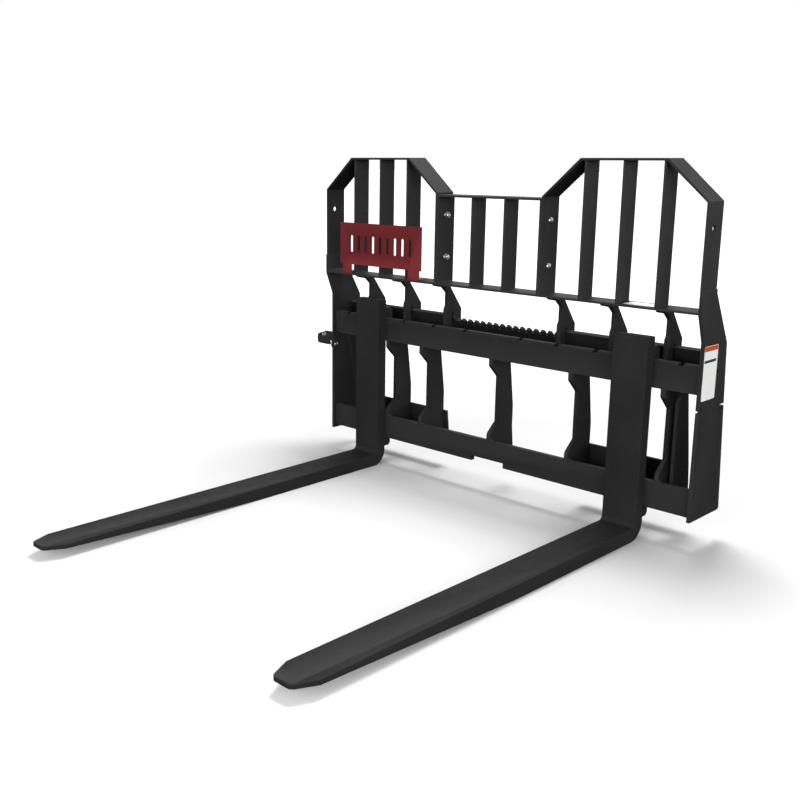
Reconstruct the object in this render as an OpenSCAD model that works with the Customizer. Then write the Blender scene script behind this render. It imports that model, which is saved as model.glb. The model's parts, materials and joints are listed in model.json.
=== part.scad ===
// Pallet fork attachment for a skid steer loader: a hook type fork frame with a
// bolted guard, a universal quick attach back and two sliding forks with latches.
// X runs along the rails, forks point to -Y, Z is up. The origin is on the middle
// plane, on the front face of the rails, at the level that the forks rest on.

/* [Fork frame] */
// Clear width between the two end plates
inner_w = 1326; // [1200:1:1500]
// Height over both rails, class II
frame_h = 407; // [400:1:410]
// Height of each rail bar
rail_h = 76.2; // [70:0.1:80]
// Thickness of each rail bar
rail_t = 15.9; // [15:0.1:17]
// Thickness of an end plate
end_t = 9.5; // [8:0.5:12]
// Thickness of the ribs and guard arms
rib_t = 12.7; // [9:0.1:14]
// Height of the lower rail's bottom edge above the ground
rail_z = 91; // [86:1:110]

/* [Latch notches] */
// Distance between two neighbouring notches
notch_pitch = 126; // [120:1:130]
// Distance of the first notch from the middle
notch_first = 103; // [100:1:110]
// Width of a notch
notch_w = 14; // [12:0.5:16]
// Depth of a notch
notch_d = 9; // [8:0.5:10]

/* [Forks] */
// Width of a fork
tine_w = 101.6; // [95:0.1:110]
// Thickness of a fork
tine_t = 38.1; // [35:0.1:40]
// Length of a blade from the front of its shank
blade_l = 1219; // [900:1:1400]
// Height of the top of the shank above the ground
shank_top = 560; // [550:1:570]
// Blade thickness at the tip
tip_t = 11; // [8:1:16]

/* [Guard] */
// Height of the top of the side panels
guard_top = 1012; // [980:1:1050]
// Height of the top of the middle panel
guard_mid = 904; // [890:1:920]
// Height of the top face of the sill bars
guard_sill = 639; // [630:1:650]
// Depth of the guard bars, front to back
guard_d = 76.2; // [60:0.1:80]
// Depth of the upright bars inside the guard frames
bar_d = 63.5; // [50:0.1:70]
// Thickness of the guard bars
guard_t = 6.4; // [5:0.1:8]
// Half the width of the middle panel
mid_half = 187.5; // [180:0.5:200]

/* [Quick attach] */
// Thickness of the quick attach plates
attach_t = 9.5; // [8:0.5:12]
// Distance of a lock pin slot from the middle
lock_x = 493.5; // [488:0.5:498]

/* [Hidden] */
$fn = 48;

half_w = inner_w / 2;
frame_top = rail_z + frame_h;
notches = [for (s = [-1, 1], i = [0:4]) s * (notch_first + i * notch_pitch)];
tine_x = notch_first + 3 * notch_pitch;
guard_y = -43;
guard_back = guard_y + guard_d;
hole_y = -9;
bar_y = guard_y + (guard_d - bar_d) / 2;
bolt_y = guard_y + guard_d / 2;
sill_low = guard_sill - guard_t;
rib_places = [562, 425, 279];
arm_places = [544, 381, 211];
step_half = arm_places[2] - rib_t / 2;
lip_foot = [66, frame_top + 25];
pin_y = 9.5;
pin_r = 5;
run_gap = 0.05;
bar_places = [316, 429.7, 543.4];
bracket_y = -14;
bracket_bolt = [-5.5, rail_z + 289];
clamp_bolt = [-34, rail_z + 321];
guard_bolt_z = [716, 843];
name_bolt_x = [-568, -276];
name_bolt_y = -22;
steel = [0.11, 0.11, 0.115];
zinc = [0.75, 0.75, 0.77];
plate_red = [0.4, 0.11, 0.13];

// A plate that stands in the YZ plane, drawn as [y, z] points, centred on x
module side_plate(x, t, points) {
    translate([x - t / 2, 0, 0]) rotate([90, 0, 90])
        linear_extrude(t) polygon(points);
}

// A cylinder along X that starts at x
module rod_x(x, y, z, r, l) {
    translate([x, y, z]) rotate([0, 90, 0]) cylinder(r = r, h = l);
}

// A rounded slot as a flat shape, w long between its round ends
module obround(w, d) {
    union() {
        square([w, d], center = true);
        for (s = [-1, 1]) translate([s * w / 2, 0]) circle(d = d);
    }
}

// Both rails

module top_rail() {
    color(steel) difference() {
        translate([-half_w, 0, frame_top - rail_h]) cube([inner_w, rail_t, rail_h]);
        for (x = notches) translate([x - notch_w / 2, -1, frame_top - notch_d])
            cube([notch_w, rail_t + 2, notch_d + 1]);
    }
}

module bottom_rail() {
    cut_w = 120;
    cut_h = 15.5;
    color(steel) difference() {
        translate([-half_w, 0, rail_z]) cube([inner_w, rail_t, rail_h]);
        translate([-cut_w / 2, -1, rail_z - 1]) cube([cut_w, rail_t + 2, cut_h + 1]);
    }
}

// End plates, with hooked mounting slits at the front and rear edges

module end_plate(side) {
    top = guard_sill + 54;
    front = -15;
    slit_z = rail_z + 290;
    slit = 5.5;
    outline = [[front, rail_z - 8], [144, rail_z - 8], [149, rail_z - 2], [125, rail_z + 290],
        [112, rail_z + 457], [guard_back, top - 10], [guard_back, top],
        [guard_y, top], [guard_y, guard_sill - 7], [front, rail_z + 470]];
    color(steel) difference() {
        side_plate(side * (half_w + end_t / 2), end_t, outline);
        for (hole = [[73, 383, 5], [118, 31, 5]])
            rod_x(side * half_w - end_t - 1, hole[0], rail_z + hole[1], hole[2],
                2 * end_t + 2);
        if (side < 0) {
            rod_x(-half_w - end_t - 1, 26.5, rail_z + 413, 4, end_t + 2);
            rod_x(-half_w - end_t - 1, bracket_bolt[0], bracket_bolt[1], 4.5, end_t + 2);
        }
        if (side > 0) translate([half_w - 1, front - 1, slit_z - slit / 2]) {
            cube([end_t + 2, 13, slit]);
            translate([0, 13 - slit, 0]) cube([end_t + 2, slit, 12]);
        }
        translate([side * half_w - end_t - 1, 102, slit_z - slit / 2])
            cube([2 * end_t + 2, 30, slit]);
        translate([side * half_w - end_t - 1, 102, slit_z - 12 + slit / 2])
            cube([2 * end_t + 2, slit, 12]);
    }
}

// Ribs between and behind the rails. The front steps back to clear the hooks.

module rib(x) {
    back = rail_t;
    color(steel) side_plate(x, rib_t, [
        [back, frame_top - 18], [back, frame_top - rail_h], [1, frame_top - rail_h],
        [1, rail_z + 309], [39, rail_z + 272], [39, rail_z + 131], [5, rail_z + 101],
        [1, rail_z + 92], [1, rail_z + rail_h], [back, rail_z + rail_h], [back, rail_z + 17],
        [125.5, rail_z + 17], [124, rail_z + 34],
        [116, rail_z + 102], [116, rail_z + 170], [97, rail_z + 305],
        [70, frame_top - 18]]);
}

// Guard arms behind the upper rail, each with a foot under the guard sill

module arm(x) {
    back = rail_t;
    front = 40;
    hook = 33.5;
    lip_z = lip_foot[1] + attach_t * sqrt(2) - (110 - lip_foot[0]);
    color(steel) side_plate(x, rib_t, [
        [back, frame_top - rail_h + 6], [back, frame_top - 18], [hook, frame_top - 18],
        [hook, frame_top + 48], [front, frame_top + 60], [front, frame_top + 101],
        [20, frame_top + 119], [-20, frame_top + 127], [-25, sill_low],
        [30, sill_low], [48, sill_low - 8], [110, frame_top + 46], [110, lip_z],
        [lip_foot[0] - 1, lip_foot[1] + attach_t * sqrt(2) + 1],
        [lip_foot[0] - 5, lip_foot[1] - 4], [lip_foot[0] - 5, frame_top - rail_h + 6]]);
}

// Quick attach: the upper lips slope back and down, the loader's plate fits under them

module upper_lip(side) {
    length = half_w - step_half;
    reach = 62;
    color(steel) translate([side > 0 ? step_half : -half_w, 0, 0])
        rotate([90, 0, 90]) linear_extrude(length) polygon([
            lip_foot, lip_foot + [reach, -reach],
            lip_foot + [reach + attach_t * sqrt(2) / 2, -reach + attach_t * sqrt(2) / 2],
            lip_foot + [attach_t * sqrt(2) / 2, attach_t * sqrt(2) / 2]]);
}

// Quick attach: the lower plates hang behind the ribs, with a slot for a lock pin.
// Each has a cheek at its outer end that guides the side of the loader's plate.

module lower_plate(side) {
    inner = 262;
    outer = 590;
    back = 116 + attach_t;
    color(steel) difference() {
        union() {
            translate([side > 0 ? inner : -outer, 0, 0]) rotate([90, 0, 90])
                linear_extrude(outer - inner) polygon([[116, rail_z + 102],
                    [124, rail_z + 34], [126, rail_z + 14], [94, rail_z + 2],
                    [97.3, rail_z - 6.9], [126 + attach_t, rail_z + 6],
                    [124 + attach_t, rail_z + 34], [back, rail_z + 102]]);
            side_plate(side * (outer - attach_t / 2), attach_t, [[back, rail_z + 102],
                [124 + attach_t, rail_z + 34], [60, rail_z + 34], [40, rail_z + 60],
                [40, rail_z + 290], [66, rail_z + 330], [88, rail_z + 330]]);
        }
        translate([side * lock_x, 114, rail_z - 12]) linear_extrude(28) obround(30, 20);
    }
}

// Serrated step between the inner arms, in the plane of the lips, teeth upwards

module step_plate() {
    pitch = 24.8;
    tooth_w = 15.5;
    tooth_l = 17;
    tip = 17;
    foot = 62 * sqrt(2);
    color(steel) translate([0, lip_foot[0], lip_foot[1]]) rotate([-45, 0, 0])
        linear_extrude(attach_t) union() {
            translate([-step_half, tip + tooth_l])
                square([2 * step_half, foot - tip - tooth_l]);
            for (s = [-1, 1]) translate([s > 0 ? 7.5 * pitch : -step_half, tip + 5])
                square([step_half - 7.5 * pitch, foot - tip - 5]);
            for (i = [-7:7]) translate([i * pitch, tip]) {
                translate([-tooth_w / 2, tooth_w / 2])
                    square([tooth_w, tooth_l + 1 - tooth_w / 2]);
                translate([0, tooth_w / 2]) circle(d = tooth_w);
            }
        }
}

// Guard side panels: one bent flat bar each, from the end plate over to the middle

module guard_outline(grow) {
    outer = half_w + guard_t - grow;
    inner = mid_half + grow;
    top = guard_top - grow;
    rise = 102;
    run = 116;
    low_z = guard_top - rise;
    corner = grow * 0.42;
    polygon([[outer, guard_sill + 54], [outer, low_z - corner], [outer - run + corner, top],
        [inner + run - corner, top], [inner, low_z - corner], [inner, sill_low],
        [inner, guard_sill + 54]]);
}

module guard_frame(side) {
    leg = guard_t;
    color(steel) difference() {
        mirror([side < 0 ? 1 : 0, 0, 0]) union() {
            translate([0, guard_back, 0]) rotate([90, 0, 0]) linear_extrude(guard_d)
                difference() {
                    guard_outline(0);
                    guard_outline(guard_t);
                    translate([mid_half + guard_t, guard_sill - 20])
                        square([half_w - mid_half - guard_t, 80]);
                }
            translate([mid_half, guard_y, sill_low]) cube([leg, guard_d, 60]);
        }
        rod_x(side * half_w - 12, hole_y, 844, 8, 24);
        for (z = guard_bolt_z) rod_x(side * mid_half - 12, bolt_y, z, 5.5, 24);
    }
}

module guard_sill_bar(side) {
    inner = mid_half + guard_t;
    color(steel) difference() {
        translate([side > 0 ? inner : -half_w, guard_y, sill_low])
            cube([half_w - inner, guard_d, guard_t]);
        if (side < 0) for (x = name_bolt_x) translate([x, name_bolt_y, sill_low - 1])
            cylinder(r = 4.02, h = guard_t + 2);
    }
}

module guard_bars(side) {
    chamfer_slope = 102 / 116;
    color(steel) for (x = bar_places) {
        low_x = min(half_w + guard_t - x, x - mid_half) - guard_t / 2;
        top = guard_top - max(0, 116 - low_x) * chamfer_slope
            - (low_x < 116 ? guard_t * 1.34 : guard_t);
        translate([side * x - guard_t / 2, bar_y, guard_sill])
            cube([guard_t, bar_d, top - guard_sill]);
    }
}

// Middle panel: bolts in between the side panels

module mid_end_bars() {
    color(steel) for (s = [-1, 1]) difference() {
        translate([s * (mid_half - guard_t / 2) - guard_t / 2, guard_y, guard_sill])
            cube([guard_t, guard_d, guard_mid - guard_t - guard_sill]);
        for (z = guard_bolt_z) rod_x(s * mid_half - 12, bolt_y, z, 5.5, 24);
    }
}

module mid_top_bar() {
    color(steel) translate([-mid_half, guard_y, guard_mid - guard_t])
        cube([2 * mid_half, guard_d, guard_t]);
}

module mid_sill() {
    color(steel) translate([-mid_half, guard_y, sill_low])
        cube([2 * mid_half, guard_d, guard_t]);
}

module mid_bars() {
    color(steel) for (x = [-58.5, 58.5]) translate([x - guard_t / 2, bar_y, guard_sill])
        cube([guard_t, bar_d, guard_mid - guard_t - guard_sill]);
}

// Guard bolts: low round heads in the side panels, nuts inside the middle panel

module at_guard_bolts() {
    for (s = [-1, 1], z = guard_bolt_z) translate([s * mid_half, bolt_y, z])
        rotate([0, s * 90, 0]) children();
}

// A low round head, widest at the bottom
module round_head(r, h) {
    rotate_extrude() polygon([[0, 0], [r, 0], [r, h * 0.2], [r * 0.93, h * 0.5],
        [r * 0.75, h * 0.8], [r * 0.45, h * 0.97], [0, h]]);
}

module guard_bolts() {
    color(zinc) at_guard_bolts() {
        translate([0, 0, guard_t]) round_head(10, 5);
        translate([0, 0, -guard_t - 14]) cylinder(r = 5, h = 2 * guard_t + 14.5);
    }
}

module guard_nuts() {
    color(zinc) at_guard_bolts() translate([0, 0, -guard_t - 10]) difference() {
        cylinder(d = 18.4, h = 8, $fn = 6);
        translate([0, 0, -1]) cylinder(r = 5.02, h = 10);
    }
}

module guard_washers() {
    color(zinc) at_guard_bolts() translate([0, 0, -guard_t - 2]) difference() {
        cylinder(r = 10, h = 2);
        translate([0, 0, -1]) cylinder(r = 5.02, h = 4);
    }
}

// Name plate in front of the left panel, with plain slots, bolted to the sill

module name_plate() {
    t = 3;
    left = -600;
    right = -244;
    low = rail_z + 578;
    high = rail_z + 714;
    y = guard_y - t;
    color(plate_red) difference() {
        union() {
            translate([left, y, low]) cube([right - left, t, high - low]);
            for (foot = [[-588, 40], [-298, 44]]) translate([foot[0], y, guard_sill]) {
                cube([foot[1], t, low - guard_sill + 1]);
                cube([foot[1], 40, t]);
            }
        }
        for (i = [0:8]) translate([(left + right) / 2 + 3 + (i - 4) * 32, y - 1, (low + high) / 2])
            rotate([-90, 90, 0]) linear_extrude(t + 2) obround(44, 11);
        for (x = name_bolt_x) translate([x, name_bolt_y, guard_sill - 1])
            cylinder(r = 4.5, h = t + 2);
    }
}

// The sill is tapped for these two bolts

module name_plate_bolts() {
    color(zinc) for (x = name_bolt_x) translate([x, name_bolt_y, guard_sill + 3]) {
        cylinder(d = 15, h = 5.5, $fn = 6);
        translate([0, 0, -3 - guard_t]) cylinder(r = 4, h = 3.5 + guard_t);
    }
}

// Hose bracket: an angle bolted to the outside of the left end plate

module hose_bracket() {
    t = 5;
    outer = -half_w - end_t;
    low = rail_z + 286;
    high = rail_z + 333;
    color(steel) difference() {
        union() {
            translate([outer, bracket_y + t, 0]) rotate([90, 0, 0]) linear_extrude(t)
                polygon([[0, low + 15], [-t - 8.5, low + 15], [-t - 8.5, low], [-67, low],
                    [-73, low + 3], [-75.5, low + 9], [-75.5, low + 26], [-73, low + 32],
                    [-67, low + 35], [-32, high], [0, high]]);
            translate([outer - t, bracket_y, low - 9]) cube([t, 34, high - low + 9]);
        }
        translate([outer - 51.5, 0, low + 32]) rotate([90, 0, 0]) cylinder(r = 4, h = 20);
        translate([outer + clamp_bolt[0], 0, clamp_bolt[1]]) rotate([90, 0, 0])
            cylinder(r = 4.5, h = 20);
        rod_x(outer - t - 1, bracket_bolt[0], bracket_bolt[1], 4.5, t + 2);
    }
}

// One bolt waits for a hose clamp, the other holds the bracket, its head inside

module hose_bracket_bolts() {
    outer = -half_w - end_t;
    color(zinc) {
        translate([outer + clamp_bolt[0], bracket_y, clamp_bolt[1]]) rotate([90, 0, 0]) {
            cylinder(d = 15, h = 5.5, $fn = 6);
            translate([0, 0, -13]) cylinder(r = 4, h = 13.5);
        }
        translate([-half_w, bracket_bolt[0], bracket_bolt[1]]) rotate([0, 90, 0]) {
            round_head(8.5, 3.6);
            translate([0, 0, -22.5]) cylinder(r = 4, h = 23);
        }
    }
}

module hose_bracket_nut() {
    difference() {
        cylinder(d = 15, h = 6.5, $fn = 6);
        translate([0, 0, -1]) cylinder(r = 4.02, h = 9);
    }
}

module hose_bracket_nuts() {
    outer = -half_w - end_t;
    color(zinc) {
        translate([outer + clamp_bolt[0], bracket_y + 11.5, clamp_bolt[1]])
            rotate([90, 0, 0]) hose_bracket_nut();
        translate([outer - 11.5, bracket_bolt[0], bracket_bolt[1]])
            rotate([0, 90, 0]) hose_bracket_nut();
    }
}

// Forks: one forged bar each, bent at the heel

module tine(side) {
    back = -0.4;
    front = back - tine_t;
    heel_r = 50;
    fillet_r = 14;
    taper_y = front - blade_l * 0.42;
    tip_y = front - blade_l;
    nose = 58;
    corner = 24;
    half = tine_w / 2;
    // The nose's outline from the middle to the side, with a rounded corner
    nose_line = [[half - corner - 12, tip_y], [half - corner - 5.5, tip_y + 0.7],
        [half - corner - 1.8, tip_y + 2.8], [half - corner + 1.8, tip_y + 6.2],
        [half - corner + 4.6, tip_y + 11.1], [half, tip_y + nose]];
    color(steel) translate([side * tine_x, 0, 0]) intersection() {
        side_plate(0, tine_w, [for (p = concat(
            [[back - 4, shank_top], [back, shank_top - 4]],
            [for (a = [0:10:90]) [back - heel_r + heel_r * cos(a), heel_r - heel_r * sin(a)]],
            [[taper_y, 0], [tip_y, tine_t - tip_t], [tip_y, tine_t - 2], [tip_y + 4, tine_t]],
            [for (a = [90:-15:0]) [front - fillet_r + fillet_r * cos(a),
                tine_t + fillet_r - fillet_r * sin(a)]],
            [[front, shank_top - 5], [front + 5, shank_top]])) p]);
        linear_extrude(shank_top + 1) polygon(concat([[half, 0], [-half, 0]],
            [for (i = [5:-1:0]) [-nose_line[i][0], nose_line[i][1]]], nose_line));
    }
}

module upper_hook(side) {
    color(steel) translate([side * tine_x, 0, 0]) difference() {
        side_plate(0, tine_w - 6, [[-0.4, frame_top + 0.6], [rail_t + 0.6, frame_top + 0.6],
            [rail_t + 0.6, frame_top - 13], [rail_t + 4, frame_top - 15], [31.8, frame_top - 15],
            [31.8, frame_top + 24], [24, frame_top + 34], [-0.4, frame_top + 34]]);
        translate([0, pin_y, frame_top - 5]) cylinder(r = pin_r + run_gap, h = 60);
        translate([0, pin_y, frame_top + 8]) cylinder(r = 8, h = 60);
    }
}

module lower_hook(side) {
    color(steel) translate([side * tine_x, 0, 0])
        side_plate(0, tine_w - 6, [[-0.4, rail_z - 1], [rail_t + 1, rail_z - 1],
            [rail_t + 1, rail_z + 13], [28.5, rail_z + 13], [28.5, rail_z - 24],
            [21, rail_z - 32], [-0.4, rail_z - 32]]);
}

// Fork latch: a sprung pin drops through the hook into a notch of the upper rail.
// Drawn lifted, clear of the rail.

module latch_pin(side) {
    color(zinc) translate([side * tine_x, pin_y, frame_top]) {
        translate([0, 0, 0.8]) cylinder(r = pin_r, h = 48);
        translate([0, 0, 16]) cylinder(r = 7.6, h = 3);
        translate([0, 0, 48]) cylinder(r = 8.5, h = 9);
    }
}

module latch_cap(side) {
    color(zinc) translate([side * tine_x, pin_y, frame_top + 28]) difference() {
        union() {
            cylinder(r = 8, h = 6);
            translate([0, 0, 6]) cylinder(d = 19, h = 5, $fn = 6);
        }
        translate([0, 0, -1]) cylinder(r = pin_r + run_gap, h = 13);
    }
}

module latch_spring(side) {
    color(zinc) translate([side * tine_x, pin_y, frame_top + 19.3]) difference() {
        cylinder(r = 7.6, h = 8.4);
        translate([0, 0, -1]) cylinder(r = 5.9, h = 11);
    }
}

top_rail();
bottom_rail();
end_plate(-1);  // end_plate_left
end_plate(1);  // end_plate_right
rib(-rib_places[0]);  // rib_far_left
rib(-rib_places[1]);  // rib_outer_left
rib(-rib_places[2]);  // rib_inner_left
rib(0);  // rib_middle
rib(rib_places[2]);  // rib_inner_right
rib(rib_places[1]);  // rib_outer_right
rib(rib_places[0]);  // rib_far_right
arm(-arm_places[0]);  // arm_outer_left
arm(-arm_places[1]);  // arm_middle_left
arm(-arm_places[2]);  // arm_inner_left
arm(arm_places[2]);  // arm_inner_right
arm(arm_places[1]);  // arm_middle_right
arm(arm_places[0]);  // arm_outer_right
upper_lip(-1);  // upper_lip_left
upper_lip(1);  // upper_lip_right
lower_plate(-1);  // lower_plate_left
lower_plate(1);  // lower_plate_right
step_plate();
guard_frame(-1);  // guard_frame_left
guard_frame(1);  // guard_frame_right
guard_sill_bar(-1);  // guard_sill_left
guard_sill_bar(1);  // guard_sill_right
guard_bars(-1);  // guard_bars_left
guard_bars(1);  // guard_bars_right
mid_end_bars();
mid_top_bar();
mid_sill();
mid_bars();
guard_bolts();
guard_nuts();
guard_washers();
name_plate();
name_plate_bolts();
hose_bracket();
hose_bracket_bolts();
hose_bracket_nuts();
tine(-1);  // tine_left
tine(1);  // tine_right
upper_hook(-1);  // upper_hook_left
upper_hook(1);  // upper_hook_right
lower_hook(-1);  // lower_hook_left
lower_hook(1);  // lower_hook_right
latch_pin(-1);  // latch_pin_left
latch_pin(1);  // latch_pin_right
latch_cap(-1);  // latch_cap_left
latch_cap(1);  // latch_cap_right
latch_spring(-1);  // latch_spring_left
latch_spring(1);  // latch_spring_right
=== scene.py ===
# Pallet fork attachment: detailed pieces, materials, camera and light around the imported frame.

import json
import math
import random

import bpy
import bmesh
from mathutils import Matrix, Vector


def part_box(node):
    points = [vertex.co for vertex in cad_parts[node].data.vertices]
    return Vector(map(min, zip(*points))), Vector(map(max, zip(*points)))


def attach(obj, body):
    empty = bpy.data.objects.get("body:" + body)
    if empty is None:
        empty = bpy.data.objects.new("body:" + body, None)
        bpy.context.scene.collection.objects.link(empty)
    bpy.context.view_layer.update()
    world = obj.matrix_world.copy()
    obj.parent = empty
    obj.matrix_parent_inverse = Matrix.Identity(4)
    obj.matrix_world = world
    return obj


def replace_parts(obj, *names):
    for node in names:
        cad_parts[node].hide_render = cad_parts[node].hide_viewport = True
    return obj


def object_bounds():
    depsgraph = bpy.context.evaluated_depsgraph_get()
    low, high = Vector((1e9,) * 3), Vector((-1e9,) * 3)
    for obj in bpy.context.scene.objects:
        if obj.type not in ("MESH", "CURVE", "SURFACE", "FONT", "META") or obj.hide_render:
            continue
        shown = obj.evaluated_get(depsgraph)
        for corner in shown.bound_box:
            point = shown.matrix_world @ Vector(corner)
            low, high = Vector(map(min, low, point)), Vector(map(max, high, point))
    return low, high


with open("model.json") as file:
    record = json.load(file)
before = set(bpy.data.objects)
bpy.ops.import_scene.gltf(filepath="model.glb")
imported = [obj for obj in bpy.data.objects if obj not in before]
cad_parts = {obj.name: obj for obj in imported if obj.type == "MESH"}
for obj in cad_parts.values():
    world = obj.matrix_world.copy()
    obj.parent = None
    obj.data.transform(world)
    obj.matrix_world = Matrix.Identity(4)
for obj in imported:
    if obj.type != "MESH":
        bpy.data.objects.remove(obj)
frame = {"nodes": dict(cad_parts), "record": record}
cad_box = [list(corner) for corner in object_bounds()]
nodes = frame["nodes"]
record = frame["record"]
slot_of = {row["node"]: row["material_slot"] for row in record["subparts"]}
body_of = {n: body for body, members in record["behaviour"]["bodies"].items() for n in members}
random.seed(7)

X, Y, Z = Vector((1, 0, 0)), Vector((0, 1, 0)), Vector((0, 0, 1))
MM = 0.001
DOWN_LIP = Vector((0, 1, -1)).normalized()      # along the quick attach lips, towards the back
OFF_LIP = Vector((0, 1, 1)).normalized()        # square to their upper face
THREAD_M8 = (0.0039, 0.00125)                   # radius, pitch
THREAD_M10 = (0.0049, 0.0015)
FLATS_M8 = 0.0129
FLATS_M10 = 0.0158
HEAD_M8 = 0.0055
SUNK = 0.0003                                   # how far a shank starts inside its head
THICK_PLATE = 0.009


# ---------------------------------------------------------------- camera, floor and light

def make_camera():
    """The photograph's view: from the front right, a little above the guard."""
    data = bpy.data.cameras.new("camera")
    data.sensor_width = 36.0
    data.lens = 45.21
    data.shift_x = 0.0814
    data.shift_y = -0.0096
    data.clip_end = 200.0
    cam = bpy.data.objects.new("camera", data)
    cam.location = (1.8121, -2.3957, 1.0144)
    cam.rotation_euler = (math.radians(90 - 13.187), 0, math.radians(46.067))
    bpy.context.collection.objects.link(cam)
    bpy.context.scene.camera = cam


def make_floor(z):
    mesh = bpy.data.meshes.new("floor")
    size = 60.0
    corners = [(-size, -size, z), (size, -size, z), (size, size, z), (-size, size, z)]
    mesh.from_pydata(corners, [], [(0, 1, 2, 3)])
    floor = bpy.data.objects.new("floor", mesh)
    bpy.context.collection.objects.link(floor)
    mesh.materials.append(floor_material())
    floor.visible_diffuse = False
    floor.visible_glossy = False


def area_light(name, place, target, size, power):
    data = bpy.data.lights.new(name, "AREA")
    data.shape = "RECTANGLE"
    data.size, data.size_y = size
    data.energy = power
    lamp = bpy.data.objects.new(name, data)
    lamp.location = place
    lamp.rotation_euler = (Vector(target) - Vector(place)).to_track_quat("-Z", "Y").to_euler()
    bpy.context.collection.objects.link(lamp)


def make_light():
    """A white dome over a dark lower half, with soft lamps to the right, above and in front."""
    world = bpy.data.worlds.new("studio")
    bpy.context.scene.world = world
    world.use_nodes = True
    tree = world.node_tree
    coords = tree.nodes.new("ShaderNodeTexCoord")
    split = tree.nodes.new("ShaderNodeSeparateXYZ")
    tree.links.new(coords.outputs["Generated"], split.inputs["Vector"])
    height = tree.nodes.new("ShaderNodeMapRange")
    height.inputs["From Min"].default_value = -1.0
    tree.links.new(split.outputs["Z"], height.inputs["Value"])
    shade = tree.nodes.new("ShaderNodeValToRGB")
    stops = shade.color_ramp.elements
    stops[0].position, stops[0].color = 0.44, (0.02, 0.02, 0.02, 1)
    stops[1].position, stops[1].color = 0.49, (1, 1, 1, 1)
    for place, value in ((0.6, 1.0), (0.68, 0.55), (1.0, 0.3)):
        stops.new(place).color = (value, value, value, 1)
    tree.links.new(height.outputs["Result"], shade.inputs["Fac"])
    background = tree.nodes["Background"]
    tree.links.new(shade.outputs["Color"], background.inputs["Color"])
    background.inputs["Strength"].default_value = 1.0
    area_light("key", (4.2, -2.2, 1.5), (0.2, -0.5, 0.3), (3.6, 2.4), 130)
    area_light("top", (-0.2, 0.55, 3.4), (0, -0.2, 0.0), (1.2, 1.2), 115)
    area_light("fill", (0.2, -5.0, 1.8), (0, -0.3, 0.4), (4.0, 2.4), 105)


# ---------------------------------------------------------------- materials

def new_material(name):
    material = bpy.data.materials.new(name)
    material.use_nodes = True
    tree = material.node_tree
    return material, tree, tree.nodes["Principled BSDF"]


def noise(tree, scale, detail=4.0, roughness=0.5):
    """Noise in the object's own space, scale in cells per metre."""
    coords = tree.nodes.new("ShaderNodeTexCoord")
    node = tree.nodes.new("ShaderNodeTexNoise")
    node.inputs["Scale"].default_value = scale
    node.inputs["Detail"].default_value = detail
    node.inputs["Roughness"].default_value = roughness
    tree.links.new(coords.outputs["Object"], node.inputs["Vector"])
    return node.outputs["Fac"]


def ramp(tree, value, low, high, at=(0.3, 0.7)):
    """Maps a 0..1 value to a colour or grey between low and high."""
    node = tree.nodes.new("ShaderNodeValToRGB")
    for stop, place, colour in zip(node.color_ramp.elements, at, (low, high)):
        stop.position = place
        stop.color = colour if len(colour) == 4 else (*colour, 1)
    tree.links.new(value, node.inputs["Fac"])
    return node.outputs["Color"]


def grey(value):
    return (value, value, value)


def add_bump(tree, shader, layers):
    """Stacks bump layers, each (height socket, strength, distance in metres)."""
    normal = None
    for height, strength, distance in layers:
        bump = tree.nodes.new("ShaderNodeBump")
        bump.inputs["Strength"].default_value = strength
        bump.inputs["Distance"].default_value = distance
        tree.links.new(height, bump.inputs["Height"])
        if normal:
            tree.links.new(normal, bump.inputs["Normal"])
        normal = bump.outputs["Normal"]
    tree.links.new(normal, shader.inputs["Normal"])


def mix(tree, factor, first, second):
    node = tree.nodes.new("ShaderNodeMix")
    node.data_type = "RGBA"
    tree.links.new(factor, node.inputs["Factor"])
    for socket, value in (("A", first), ("B", second)):
        target = [s for s in node.inputs if s.name == socket and s.type == "RGBA"][0]
        if isinstance(value, tuple):
            target.default_value = (*value, 1)
        else:
            tree.links.new(value, target)
    return [s for s in node.outputs if s.type == "RGBA"][0]


def painted_highlight_edge_mask(tree, low=0.52, high=0.62):
    """White along outer edges, broken up: the mask where a highlight is painted into the paint's
    colour.
    """
    geometry = tree.nodes.new("ShaderNodeNewGeometry")
    return ramp(tree, geometry.outputs["Pointiness"], grey(0), grey(1), (low, high))


def powder_coat(name, colour, rough, specular, peel=0.12):
    """Satin powder coat: orange peel, faint cloudiness and a painted highlight that makes the edges
    slightly paler.
    """
    material, tree, shader = new_material(name)
    darker = tuple(c * 0.82 for c in colour)
    lighter = tuple(c * 1.15 for c in colour)
    cloud = ramp(tree, noise(tree, 9, 5), darker, lighter)
    # Painted highlight: the base colour is made paler along outer edges.
    edge_highlight_colour = tuple(min(1, c * 1.9 + 0.006) for c in colour)
    tree.links.new(mix(tree, painted_highlight_edge_mask(tree), cloud, edge_highlight_colour), shader.inputs["Base Color"])
    tree.links.new(ramp(tree, noise(tree, 26, 6), grey(rough - 0.06), grey(rough + 0.06)),
                   shader.inputs["Roughness"])
    shader.inputs["Specular IOR Level"].default_value = specular
    add_bump(tree, shader, [(noise(tree, 700, 2), peel, 0.00012),
                            (noise(tree, 60, 3), 0.10, 0.0006)])
    return material


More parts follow.
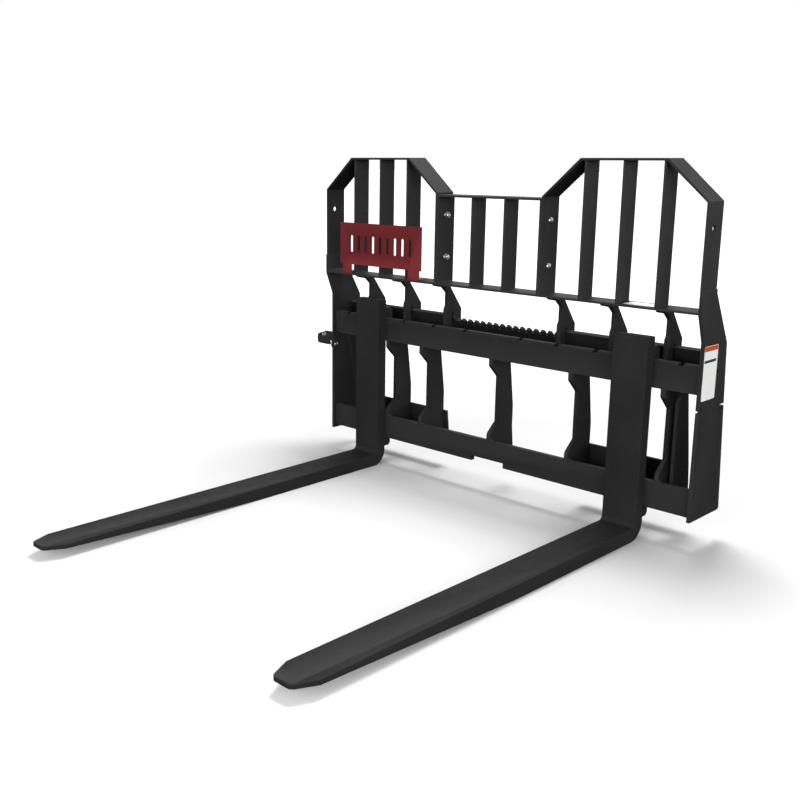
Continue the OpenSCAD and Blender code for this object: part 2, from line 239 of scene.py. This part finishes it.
def forged_paint(name, colour, rough, specular):
    """Paint over forged and rolled steel: broad waviness, fine scale, pits and a painted highlight
    that makes the edges paler.
    """
    material, tree, shader = new_material(name)
    darker = tuple(c * 0.78 for c in colour)
    lighter = tuple(c * 1.18 for c in colour)
    cloud = ramp(tree, noise(tree, 6, 7, 0.6), darker, lighter)
    # Painted highlight: the base colour is made paler along outer edges.
    edge_highlight_colour = tuple(min(1, c * 1.8 + 0.004) for c in colour)
    tree.links.new(mix(tree, painted_highlight_edge_mask(tree), cloud, edge_highlight_colour), shader.inputs["Base Color"])
    tree.links.new(ramp(tree, noise(tree, 35, 8), grey(rough - 0.07), grey(rough + 0.07)),
                   shader.inputs["Roughness"])
    shader.inputs["Specular IOR Level"].default_value = specular
    add_bump(tree, shader, [(noise(tree, 14, 2), 0.2, 0.0010),
                            (noise(tree, 260, 5, 0.65), 0.14, 0.0002)])
    return material


def zinc_plate(name, colour=(0.62, 0.63, 0.66)):
    """Bright zinc: faint blotches and fine machining lines."""
    material, tree, shader = new_material(name)
    tree.links.new(ramp(tree, noise(tree, 180, 4), tuple(c * 0.8 for c in colour), colour),
                   shader.inputs["Base Color"])
    tree.links.new(ramp(tree, noise(tree, 400, 3), grey(0.24), grey(0.42)),
                   shader.inputs["Roughness"])
    shader.inputs["Metallic"].default_value = 1.0
    add_bump(tree, shader, [(noise(tree, 1500, 2), 0.15, 0.00005)])
    return material


def label_material(name, colour):
    """Printed vinyl: smooth, with a faint texture."""
    material, tree, shader = new_material(name)
    tree.links.new(ramp(tree, noise(tree, 120, 3), tuple(c * 0.95 for c in colour), colour),
                   shader.inputs["Base Color"])
    tree.links.new(ramp(tree, noise(tree, 60, 3), grey(0.3), grey(0.42)),
                   shader.inputs["Roughness"])
    add_bump(tree, shader, [(noise(tree, 900, 2), 0.08, 0.00005)])
    return material


def floor_material():
    material, tree, shader = new_material("studio_floor")
    tree.links.new(ramp(tree, noise(tree, 0.6, 2), grey(0.68), grey(0.70)),
                   shader.inputs["Base Color"])
    coords = tree.nodes.new("ShaderNodeTexCoord")
    distance = tree.nodes.new("ShaderNodeVectorMath")
    distance.operation = "LENGTH"
    tree.links.new(coords.outputs["Object"], distance.inputs[0])
    fade = tree.nodes.new("ShaderNodeMapRange")
    fade.inputs["From Min"].default_value = 0.9
    fade.inputs["From Max"].default_value = 3.6
    fade.inputs["To Max"].default_value = 1.0
    tree.links.new(distance.outputs["Value"], fade.inputs["Value"])
    shader.inputs["Emission Color"].default_value = (1, 1, 1, 1)
    tree.links.new(fade.outputs["Result"], shader.inputs["Emission Strength"])
    shader.inputs["Roughness"].default_value = 0.9
    shader.inputs["Specular IOR Level"].default_value = 0.05
    return material


BLACK = (0.0165, 0.0165, 0.0168)
MATERIALS = {
    "frame_paint": powder_coat("frame_paint", BLACK, 0.52, 0.14),
    "fork_paint": forged_paint("fork_paint", (0.0185, 0.0185, 0.0188), 0.6, 0.08),
    "red_paint": powder_coat("red_paint", (0.105, 0.008, 0.011), 0.5, 0.16),
    "zinc_fasteners": zinc_plate("zinc_fasteners"),
    "spring_steel": zinc_plate("spring_steel", (0.35, 0.35, 0.36)),
}
LABEL_WHITE = label_material("label_white", (0.95, 0.95, 0.94))
LABEL_ORANGE = label_material("label_orange", (0.62, 0.075, 0.006))
LABEL_GREY = label_material("label_grey", (0.05, 0.05, 0.055))


# ---------------------------------------------------------------- mesh helpers

def new_piece(name, bm, material, body, smooth_angle=32):
    """A finished mesh piece that rides on a body."""
    bmesh.ops.recalc_face_normals(bm, faces=bm.faces)
    mesh = bpy.data.meshes.new(name)
    bm.to_mesh(mesh)
    bm.free()
    mesh.materials.append(material)
    mesh.shade_smooth()
    mesh.set_sharp_from_angle(angle=math.radians(smooth_angle))
    piece = bpy.data.objects.new(name, mesh)
    bpy.context.collection.objects.link(piece)
    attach(piece, body)
    return piece


def cad_bmesh(node):
    """The CAD node's mesh with its split corners joined and flat areas merged."""
    bm = bmesh.new()
    bm.from_mesh(nodes[node].data)
    bmesh.ops.remove_doubles(bm, verts=bm.verts, dist=2e-6)
    bmesh.ops.dissolve_limit(bm, angle_limit=math.radians(0.6), verts=bm.verts, edges=bm.edges)
    return bm


def rounded_copy(node, width, segments=2):
    """The CAD shape with its sharp edges rounded, as cut and blasted plate has them."""
    bm = cad_bmesh(node)
    sharp = [e for e in bm.edges if len(e.link_faces) == 2
             and e.calc_face_angle(0) > math.radians(28)]
    bmesh.ops.bevel(bm, geom=sharp, offset=width, offset_type="OFFSET", segments=segments,
                    profile=0.5, affect="EDGES", clamp_overlap=True)
    slot = slot_of[node]
    piece = new_piece(node + "_finish", bm, MATERIALS[slot], body_of[node], 50)
    modifier = piece.modifiers.new("flat faces stay flat", "WEIGHTED_NORMAL")
    modifier.keep_sharp = True
    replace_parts(piece, node)
    return piece


def islands(node):
    """Lowest and highest corner of each separate solid in a CAD node."""
    bm = bmesh.new()
    bm.from_mesh(nodes[node].data)
    bmesh.ops.remove_doubles(bm, verts=bm.verts, dist=2e-6)
    left, found = set(bm.verts), []
    while left:
        group, edge = set(), [left.pop()]
        while edge:
            vert = edge.pop()
            group.add(vert)
            for link in vert.link_edges:
                other = link.other_vert(vert)
                if other in left:
                    left.remove(other)
                    edge.append(other)
        points = [v.co for v in group]
        low = Vector([min(p[i] for p in points) for i in range(3)])
        high = Vector([max(p[i] for p in points) for i in range(3)])
        found.append((low, high))
    bm.free()
    return sorted(found, key=lambda c: tuple(round(x, 5) for x in c[0]))


def turned(bm, base, axis, profile, sides=48, outline=None):
    """A closed body of rings along axis from base; profile is (height, radius) pairs and
    outline limits the radius by angle, so a hexagon gets its chamfered corners."""
    axis = axis.normalized()
    across = axis.orthogonal().normalized() if abs(axis.z) < 0.9 else X.copy()
    other = axis.cross(across)
    rings = []
    for height, radius in profile:
        ring = []
        for k in range(sides):
            angle = 2 * math.pi * k / sides
            limit = min(radius, outline(angle)) if outline else radius
            ring.append(bm.verts.new(base + axis * height
                                     + (across * math.cos(angle) + other * math.sin(angle)) * limit))
        rings.append(ring)
    for first, second in zip(rings, rings[1:]):
        for k in range(sides):
            bm.faces.new((first[k], first[(k + 1) % sides], second[(k + 1) % sides], second[k]))
    bm.faces.new(rings[0])
    bm.faces.new(rings[-1])


def hexagon(flats):
    """Radius of a hexagon by angle, from its distance across flats."""
    def radius(angle):
        return flats / 2 / math.cos((angle + math.pi / 6) % (math.pi / 3) - math.pi / 6)
    return radius


def hex_head(bm, base, axis, flats, height):
    """A bolt head: hexagon with its top corners turned off."""
    corner, top = flats / 2 / math.cos(math.pi / 6), flats / 2 * 0.94
    turned(bm, base, axis, [(0, flats), (height - (corner - top) * 0.55, flats),
                            (height - (corner - top) * 0.27, (corner + top) / 2),
                            (height, top)], 48, hexagon(flats))


def hex_nut(bm, base, axis, flats, height):
    """A nut: hexagon with both rims turned off."""
    corner, rim = flats / 2 / math.cos(math.pi / 6), flats / 2 * 0.95
    step = (corner - rim) * 0.5
    turned(bm, base, axis, [(0, rim), (step, corner), (height - step, corner), (height, rim)],
           48, hexagon(flats))


def threaded(bm, base, axis, thread, length):
    """A bolt's shank end with thread ridges and a lead-in chamfer; thread is (radius, pitch)."""
    radius, pitch = thread
    profile, height, depth = [(0, radius)], 0.0, pitch * 0.5
    while height + pitch < length - pitch:
        profile += [(height + pitch * 0.5, radius - depth), (height + pitch, radius)]
        height += pitch
    profile += [(length - pitch * 0.6, radius - depth * 0.4), (length, radius - depth * 1.4)]
    turned(bm, base, axis, profile, 32)


def bead(bm, start, end, side_a, side_b, leg):
    """A fillet weld from start to end in the corner between side_a and side_b."""
    line = end - start
    count = max(4, int(line.length / 0.0026))
    inset = -0.00025
    previous = None
    for i in range(count + 1):
        share = i / count
        fade = min(1.0, i / 2 + 0.35, (count - i) / 2 + 0.35)
        size = leg * fade * (1.0 + (0.09 if i % 2 else -0.05) + random.uniform(-0.05, 0.05))
        centre = start + line * share + (side_a + side_b) * inset
        shape = [(0, 0), (1, 0), (0.80, 0.33), (0.58, 0.58), (0.33, 0.80), (0, 1)]
        ring = [bm.verts.new(centre + side_a * (a * size) + side_b * (b * size))
                for a, b in shape]
        if previous:
            for k in range(len(ring)):
                bm.faces.new((previous[k], previous[(k + 1) % len(ring)],
                              ring[(k + 1) % len(ring)], ring[k]))
        else:
            bm.faces.new(ring)
        previous = ring
    bm.faces.new(previous)


# ---------------------------------------------------------------- plates, bars and forks

PLATE_NODES = [n for n, slot in slot_of.items() if slot == "frame_paint"]


def make_plates():
    for node in PLATE_NODES:
        low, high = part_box(node)
        rounded_copy(node, 0.0011 if min(high - low) > THICK_PLATE else 0.0007)
    rounded_copy("name_plate", 0.0005)


def make_forks():
    for side in ("left", "right"):
        rounded_copy("tine_" + side, 0.0024, 3)


# ---------------------------------------------------------------- fasteners and latches

def zinc_piece(name, bm, node):
    """A finished zinc-plated piece that takes the place of a CAD node."""
    slot = "zinc_fasteners"
    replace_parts(new_piece(name, bm, MATERIALS[slot], body_of[node]), node)


def round_head(bm, base, axis, radius, height):
    """A low domed bolt head with a short straight rim."""
    turned(bm, base, axis, [(0, radius * 0.97), (height * 0.08, radius), (height * 0.2, radius),
                            (height * 0.38, radius * 0.96), (height * 0.58, radius * 0.86),
                            (height * 0.78, radius * 0.68), (height * 0.93, radius * 0.42),
                            (height, radius * 0.14)])


def make_guard_fasteners():
    """Round heads in the side panels, washers and nuts inside the middle panel."""
    heads, nuts, rings = bmesh.new(), bmesh.new(), bmesh.new()
    dome = 0.005
    for low, high in islands("guard_bolts"):
        centre = (low + high) / 2
        out = X if centre.x > 0 else -X
        tip, root = (high.x, low.x) if centre.x > 0 else (low.x, high.x)
        base = Vector((tip, centre.y, centre.z)) - out * dome
        round_head(heads, base, out, 0.0099, dome)
        threaded(heads, base + out * SUNK, -out, THREAD_M10, abs(tip - root) - dome + SUNK)
    for low, high in islands("guard_nuts"):
        centre = (low + high) / 2
        hex_nut(nuts, Vector((low.x, centre.y, centre.z)), X, FLATS_M10, high.x - low.x)
    for low, high in islands("guard_washers"):
        centre = (low + high) / 2
        base = Vector((low.x, centre.y, centre.z))
        turned(rings, base, X, [(0, 0.0095), (0.0003, 0.0099), (0.0017, 0.0099), (0.002, 0.0095)])
    zinc_piece("guard_bolt_set", heads, "guard_bolts")
    zinc_piece("guard_nut_set", nuts, "guard_nuts")
    zinc_piece("guard_washer_set", rings, "guard_washers")


def make_name_plate_bolts():
    """M8 bolts that hold the name plate's feet to the tapped sill."""
    bm = bmesh.new()
    for low, high in islands("name_plate_bolts"):
        centre = (low + high) / 2
        base = Vector((centre.x, centre.y, high.z - HEAD_M8))
        hex_head(bm, base, Z, FLATS_M8, HEAD_M8)
        threaded(bm, base + Z * SUNK, -Z, THREAD_M8, base.z - low.z + SUNK)
    zinc_piece("name_plate_bolt_set", bm, "name_plate_bolts")


def make_bracket_fasteners():
    """A clamp bolt along Y and a round-headed mounting bolt along X, each with its nut."""
    bolts, nuts = bmesh.new(), bmesh.new()
    for low, high in islands("hose_bracket_bolts"):
        centre, size = (low + high) / 2, high - low
        if size.y > size.x:
            base = Vector((centre.x, low.y + HEAD_M8, centre.z))
            hex_head(bolts, base, -Y, FLATS_M8, HEAD_M8)
            threaded(bolts, base - Y * SUNK, Y, THREAD_M8, size.y - HEAD_M8 + SUNK)
        else:
            dome = 0.0036
            base = Vector((high.x - dome, centre.y, centre.z))
            round_head(bolts, base, X, 0.0084, dome)
            threaded(bolts, base + X * SUNK, -X, THREAD_M8, size.x - dome + SUNK)
    for low, high in islands("hose_bracket_nuts"):
        centre, size = (low + high) / 2, high - low
        if size.y < size.x:
            hex_nut(nuts, Vector((centre.x, low.y, centre.z)), Y, FLATS_M8, size.y)
        else:
            hex_nut(nuts, Vector((low.x, centre.y, centre.z)), X, FLATS_M8, size.x)
    zinc_piece("hose_bracket_bolt_set", bolts, "hose_bracket_bolts")
    zinc_piece("hose_bracket_nut_set", nuts, "hose_bracket_nuts")


def make_spring(side):
    """A compression spring with ground ends, wound round the latch pin."""
    node = "latch_spring_" + side
    low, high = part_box(node)
    centre = (low + high) / 2
    wire, turns, sides, steps = 0.0008, 4.5, 10, 28
    coil = (high.x - low.x) / 2 - wire
    bm = bmesh.new()
    rise = high.z - low.z - 2 * wire
    rings, total = [], int(turns * steps)
    for i in range(total + 1):
        share = i / total
        angle = 2 * math.pi * turns * share
        z = low.z + wire + rise * min(1, max(0, (share - 0.1) / 0.8))
        out = Vector((math.cos(angle), math.sin(angle), 0))
        middle = Vector((centre.x, centre.y, z)) + out * coil
        rings.append([bm.verts.new(middle + out * (wire * math.cos(2 * math.pi * k / sides))
                                   + Z * (wire * math.sin(2 * math.pi * k / sides)))
                      for k in range(sides)])
    for first, second in zip(rings, rings[1:]):
        for k in range(sides):
            bm.faces.new((first[k], first[(k + 1) % sides], second[(k + 1) % sides], second[k]))
    bm.faces.new(rings[0])
    bm.faces.new(rings[-1])
    piece = new_piece(node + "_coil", bm, MATERIALS["spring_steel"], body_of[node],
                      60)
    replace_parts(piece, node)


def make_pin(side):
    """The latch pin: chamfered tip, spring collar and a grooved pull knob."""
    node = "latch_pin_" + side
    low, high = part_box(node)
    base = Vector(((low.x + high.x) / 2, (low.y + high.y) / 2, low.z))
    profile = [(0, 3.9), (0.9, 4.9), (15.2, 4.9), (15.3, 7.1), (15.7, 7.5), (17.7, 7.5),
               (18.1, 7.1), (18.2, 4.9), (47.2, 4.9), (47.3, 7.7), (48.0, 8.4), (50.6, 8.4),
               (51.2, 7.9), (52.0, 7.9), (52.6, 8.4), (55.2, 8.4), (55.9, 8.0), (56.2, 7.3)]
    bm = bmesh.new()
    turned(bm, base, Z, [(height * MM, radius * MM) for height, radius in profile])
    zinc_piece(node + "_turned", bm, node)


def make_latches():
    for side in ("left", "right"):
        make_pin(side)
        rounded_copy("latch_cap_" + side, 0.0006)
        make_spring(side)


# ---------------------------------------------------------------- welds

def weld_bars(bm):
    """Both ends of each upright guard bar, on both faces, but not under a sloping top."""
    leg = 0.0035
    full_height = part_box("guard_frame_left")[1].z - 0.009
    for node in ("guard_bars_left", "guard_bars_right", "mid_bars"):
        for low, high in islands(node):
            for x, out in ((low.x, -X), (high.x, X)):
                bead(bm, Vector((x, low.y + 0.003, low.z)), Vector((x, high.y - 0.003, low.z)),
                     out, Z, leg)
            if high.z > full_height or node == "mid_bars":
                for x, out in ((low.x, -X), (high.x, X)):
                    bead(bm, Vector((x, low.y + 0.003, high.z)),
                         Vector((x, high.y - 0.003, high.z)), out, -Z, leg)


def weld_arms(bm):
    """Each arm's foot under the sill, both faces, and its seat on the sloping lip."""
    leg = 0.005
    lip_low, lip_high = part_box("upper_lip_left")
    for place in ("outer", "middle", "inner"):
        for side in ("left", "right"):
            low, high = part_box(f"arm_{place}_{side}")
            for x, out in ((low.x, -X), (high.x, X)):
                bead(bm, Vector((x, low.y + 0.004, high.z)), Vector((x, low.y + 0.052, high.z)),
                     out, -Z, leg)
                start = Vector((x, lip_low.y + 0.0085, lip_high.z - 0.0018))
                if place != "inner" or (out.x > 0) == (side == "right"):
                    bead(bm, start, start + DOWN_LIP * 0.046, out, OFF_LIP, leg)


def weld_ribs(bm):
    """Ribs to the rails: behind each rail and in the corners between the rails."""
    leg = 0.005
    top_low, top_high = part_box("top_rail")
    bottom_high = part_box("bottom_rail")[1]
    for name in ("far_left", "outer_left", "inner_left", "middle",
                 "inner_right", "outer_right", "far_right"):
        low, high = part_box("rib_" + name)
        for x, out in ((low.x, -X), (high.x, X)):
            bead(bm, Vector((x, top_high.y, top_low.z + 0.004)),
                 Vector((x, top_high.y, high.z - 0.003)), out, Y, leg)
            bead(bm, Vector((x, bottom_high.y, low.z + 0.003)),
                 Vector((x, bottom_high.y, bottom_high.z - 0.004)), out, Y, leg)
            bead(bm, Vector((x, 0.0025, top_low.z)), Vector((x, top_high.y, top_low.z)),
                 out, -Z, leg)
            bead(bm, Vector((x, 0.0025, bottom_high.z)), Vector((x, top_high.y, bottom_high.z)),
                 out, Z, leg)


def weld_ends(bm):
    """Rails, sills, lips and lower plates to the end plates."""
    for side, s in (("left", -1), ("right", 1)):
        low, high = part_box("end_plate_" + side)
        x = high.x if s < 0 else low.x
        inward = -X * s
        for rail in ("top_rail", "bottom_rail"):
            rail_low, rail_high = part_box(rail)
            bead(bm, Vector((x, 0, rail_low.z + 0.002)), Vector((x, 0, rail_high.z - 0.002)),
                 inward, -Y, 0.004)
            bead(bm, Vector((x, rail_high.y, rail_low.z + 0.002)),
                 Vector((x, rail_high.y, rail_high.z - 0.002)), inward, Y, 0.006)
        sill_low, sill_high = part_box("guard_sill_" + side)
        for z, up in ((sill_low.z, -Z), (sill_high.z, Z)):
            bead(bm, Vector((x, sill_low.y + 0.003, z)), Vector((x, sill_high.y - 0.006, z)),
                 inward, up, 0.004)
        edge = high.x - 0.0031 if s > 0 else low.x + 0.0031
        bead(bm, Vector((edge, sill_low.y + 0.003, high.z)),
             Vector((edge, sill_high.y - 0.003, high.z)), X * s, Z, 0.0028)
        lip_low, lip_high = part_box("upper_lip_" + side)
        start = Vector((x, lip_low.y + 0.0085, lip_high.z - 0.0018))
        bead(bm, start, start + DOWN_LIP * 0.060, inward, OFF_LIP, 0.005)
        plate_low, plate_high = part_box("lower_plate_" + side)
        tilt = Vector((0, -0.117, 1)).normalized()
        cheek = plate_high.x - 0.0095 if s > 0 else plate_low.x + 0.0095
        start = Vector((cheek, plate_high.y - 0.0112, plate_low.z + 0.043))
        bead(bm, start, start + tilt * 0.062, inward, -Y, 0.005)


def weld_sills(bm):
    """Where the sills, the middle end bars and the side frames meet."""
    for side, s in (("left", -1), ("right", 1)):
        low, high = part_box("guard_sill_" + side)
        x = high.x if s < 0 else low.x
        bead(bm, Vector((x, low.y + 0.003, high.z)), Vector((x, high.y - 0.003, high.z)),
             X * s, Z, 0.004)
    for low, high in islands("mid_end_bars"):
        s = 1 if low.x > 0 else -1
        x = low.x if s > 0 else high.x
        for z, up in ((low.z, Z), (high.z, -Z)):
            bead(bm, Vector((x, low.y + 0.003, z)), Vector((x, high.y - 0.003, z)),
                 -X * s, up, 0.004)


def weld_step(bm):
    """The serrated step to the inner arm at each of its ends."""
    low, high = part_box("step_plate")
    for s, x in ((-1, high.x), (1, low.x)):
        start = Vector((x, low.y + 0.0117, high.z - 0.0050))
        bead(bm, start, start + DOWN_LIP * 0.026, X * s, OFF_LIP, 0.004)


def weld_hooks(side):
    """Hooks to the shank, as forged forks have them."""
    bm = bmesh.new()
    shank_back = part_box("upper_hook_" + side)[0].y
    cap_low, cap_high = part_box("latch_cap_" + side)
    low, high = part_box("upper_hook_" + side)
    middle = (low.x + high.x) / 2
    gap = (cap_high.x - cap_low.x) / 2 + 0.004
    for a, b in ((low.x + 0.002, middle - gap), (middle + gap, high.x - 0.002)):
        bead(bm, Vector((a, shank_back, high.z)), Vector((b, shank_back, high.z)), Y, Z, 0.007)
    for x, out in ((low.x, -X), (high.x, X)):
        bead(bm, Vector((x, shank_back, high.z - 0.031)), Vector((x, shank_back, high.z - 0.001)),
             out, Y, 0.0028)
    low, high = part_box("lower_hook_" + side)
    bead(bm, Vector((low.x + 0.002, shank_back, low.z)), Vector((high.x - 0.002, shank_back, low.z)),
         Y, -Z, 0.007)
    body = body_of["tine_" + side]
    new_piece("hook_welds_" + side, bm, MATERIALS["fork_paint"], body, 80)


def make_welds():
    body = body_of["top_rail"]
    for name, makers in (("guard_welds", (weld_bars, weld_sills)), ("arm_welds", (weld_arms,)),
                         ("rib_welds", (weld_ribs,)), ("end_welds", (weld_ends, weld_step))):
        bm = bmesh.new()
        for maker in makers:
            maker(bm)
        new_piece(name, bm, MATERIALS["frame_paint"], body, 80)
    for side in ("left", "right"):
        weld_hooks(side)


# ---------------------------------------------------------------- labels

def sticker(name, place, low, high, material, lift, radius):
    """A thin rounded rectangle from low to high; place(a, b, h) puts a point on its face."""
    thick = 0.00004
    bm = bmesh.new()
    outline = []
    for cy, cz, start in ((high[0] - radius, high[1] - radius, 0),
                          (low[0] + radius, high[1] - radius, 90),
                          (low[0] + radius, low[1] + radius, 180),
                          (high[0] - radius, low[1] + radius, 270)):
        for k in range(5):
            angle = math.radians(start + k * 22.5)
            outline.append((cy + radius * math.cos(angle), cz + radius * math.sin(angle)))
    layers = [[bm.verts.new(place(a, b, h)) for a, b in outline] for h in (lift, lift + thick)]
    bm.faces.new(layers[0])
    bm.faces.new(layers[1])
    for k in range(len(outline)):
        after = (k + 1) % len(outline)
        bm.faces.new((layers[0][k], layers[0][after], layers[1][after], layers[1][k]))
    new_piece(name, bm, material, body_of["end_plate_right"], 30)


def make_labels():
    """Blank stickers: one with an orange band and a dark line, one plain white."""
    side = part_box("end_plate_right")[1].x
    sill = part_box("guard_sill_right")[1].z

    def on_side(a, b, h):
        return (side + h, a, b)

    def on_sill(a, b, h):
        return (a, b, sill + h)

    low, high = (-0.009, 0.408), (0.064, 0.5495)    # corners of the side label, as (y, z)
    sticker("label_field", on_side, low, high, LABEL_WHITE, 0.00001, 0.003)
    sticker("label_band", on_side, (low[0] + 0.001, high[1] - 0.0135),
            (high[0] - 0.001, high[1] - 0.001), LABEL_ORANGE, 0.00006, 0.002)
    sticker("label_line", on_side, (low[0] + 0.003, 0.5062), (high[0] - 0.006, 0.5137),
            LABEL_GREY, 0.00006, 0.0005)
    sticker("sill_label", on_sill, (0.445, -0.029), (0.532, 0.022), LABEL_WHITE, 0.00001, 0.002)


make_camera()
make_floor(cad_box[0][2])
make_light()
bpy.context.scene.view_settings.view_transform = "Standard"
make_plates()
make_forks()
make_guard_fasteners()
make_name_plate_bolts()
make_bracket_fasteners()
make_latches()
make_welds()
make_labels()
